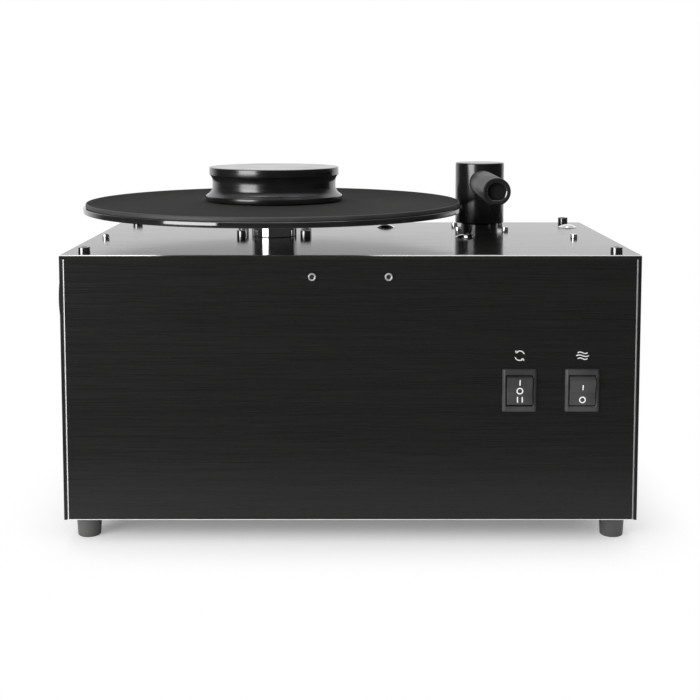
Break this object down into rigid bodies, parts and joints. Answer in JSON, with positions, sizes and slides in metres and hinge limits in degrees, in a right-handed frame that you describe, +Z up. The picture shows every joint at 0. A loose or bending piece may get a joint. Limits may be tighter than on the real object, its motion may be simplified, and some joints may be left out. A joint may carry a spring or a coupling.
{
  "type": "record cleaning machine",
  "caption": "Box-shaped record cleaning machine with a driven platter, a waisted clamp, a swivelling suction arm and two rocker switches.",
  "frame": {"origin": "on the surface that the feet rest on, under the middle of the bounding box", "axes": "+Z up, -Y out of the front panel, +X to the right as seen from the front; the platter axis lies on Y = 0"},
  "size_m": [0.4174, 0.301, 0.264],
  "materials": {
    "panel_black": "black brushed and anodised, satin",
    "top_metal": "black anodised, glossy, mirrors its surroundings",
    "bare_aluminium": "satin",
    "zinc_screws": "bright zinc",
    "black_screws": "black oxide",
    "polished_steel": "turned and polished",
    "dome_chrome": "polished",
    "bronze": "machined",
    "motor_can": "plated sheet",
    "rubber_black": "matt",
    "clamp_gloss": "turned, glossy black",
    "arm_black": "turned, semi-gloss black",
    "mat_felt": "matt dark grey",
    "lip_velvet": "velvet",
    "switch_plastic": "fine textured",
    "rocker_plastic": "satin moulded",
    "tank_plastic": "natural, translucent looking",
    "lid_plastic": "moulded",
    "washer_nylon": "nylon",
    "lever_red": "moulded"
  },
  "bodies": {
    "cabinet": {"base_plate": "panel_black", "front_panel": "panel_black", "rear_panel": "panel_black", "left_panel": "panel_black", "right_panel": "panel_black", "top_plate": "top_metal", "corner_posts": "bare_aluminium", "corner_screws": "black_screws", "feet": "rubber_black", "foot_screws": "zinc_screws", "hex_nuts": "zinc_screws", "front_rail": "bare_aluminium", "front_screws": "zinc_screws", "side_brackets": "bare_aluminium", "plate_screws": "zinc_screws", "panel_screws": "black_screws", "bearing_block": "bare_aluminium", "bearing_screws": "black_screws", "platter_bearing": "bronze", "thrust_washer": "washer_nylon", "gearbox_case": "bare_aluminium", "long_screws": "zinc_screws", "drive_motor": "motor_can", "post_socket": "arm_black", "lift_seal": "rubber_black", "dome_bolts": "dome_chrome", "isolators": "rubber_black", "tank_lid": "lid_plastic", "waste_tank": "tank_plastic", "fan_cover": "lid_plastic", "fan_housing": "lid_plastic", "vacuum_motor": "motor_can", "motor_mount": "rubber_black", "drain_tap": "bronze", "side_vent": "switch_plastic", "mains_inlet": "switch_plastic", "inlet_pins": "polished_steel", "rotation_switch": "switch_plastic", "vacuum_switch": "switch_plastic", "power_supply": "motor_can"},
    "platter": {"platter_shaft": "polished_steel", "hub": "polished_steel", "hub_screw": "black_screws", "platter": "top_metal", "platter_mat": "mat_felt", "drive_gear": "bronze"},
    "clamp": {"clamp": "clamp_gloss", "clamp_pad": "rubber_black"},
    "motor_rotor": {"motor_pinion": "bronze"},
    "lift_tube": {"lift_tube": "polished_steel"},
    "arm": {"arm_sleeve": "arm_black", "arm_tube": "arm_black", "arm_plug": "arm_black", "arm_lips": "lip_velvet"},
    "rotation_rocker": {"rotation_rocker": "rocker_plastic"},
    "vacuum_rocker": {"vacuum_rocker": "rocker_plastic"},
    "fuse_drawer": {"fuse_drawer": "switch_plastic"},
    "drain_lever": {"drain_lever": "lever_red"},
    "impeller": {"impeller": "polished_steel"}
  },
  "joints": [
    {"name": "platter_spin", "type": "hinge", "parent": "cabinet", "child": "platter", "pos_m": [-0.05745, 0, 0.208], "axis": [0, 0, 1], "continuous": true},
    {"name": "clamp_lift", "type": "slide", "parent": "platter", "child": "clamp", "axis": [0, 0, 1], "range_m": [0, 0.06]},
    {"name": "pinion_spin", "type": "hinge", "parent": "cabinet", "child": "motor_rotor", "pos_m": [-0.01745, 0, 0.161], "axis": [0, 0, 1], "continuous": true},
    {"name": "arm_lift", "type": "slide", "parent": "cabinet", "child": "lift_tube", "axis": [0, 0, 1], "range_m": [0, 0.015]},
    {"name": "arm_swivel", "type": "hinge", "parent": "lift_tube", "child": "arm", "pos_m": [0.11375, 0.0585, 0.208], "axis": [0, 0, 1], "range_deg": [-71, 25]},
    {"name": "rotation_rock", "type": "hinge", "parent": "cabinet", "child": "rotation_rocker", "pos_m": [0.12355, -0.1265, 0.1114], "axis": [1, 0, 0], "range_deg": [-11, 11]},
    {"name": "vacuum_rock", "type": "hinge", "parent": "cabinet", "child": "vacuum_rocker", "pos_m": [0.16805, -0.1265, 0.1114], "axis": [1, 0, 0], "range_deg": [-22, 0]},
    {"name": "fuse_pull", "type": "slide", "parent": "cabinet", "child": "fuse_drawer", "axis": [0, 1, 0], "range_m": [0, 0.018]},
    {"name": "drain_turn", "type": "hinge", "parent": "cabinet", "child": "drain_lever", "pos_m": [0.15375, 0.1165, 0.116], "axis": [0, 0, 1], "range_deg": [-90, 0]},
    {"name": "impeller_spin", "type": "hinge", "parent": "cabinet", "child": "impeller", "pos_m": [0.07575, 0.0255, 0.105], "axis": [0, 0, 1], "continuous": true}
  ],
  "couplings": [
    {"joint": "pinion_spin", "follows": "platter_spin", "ratio": -3}
  ]
}
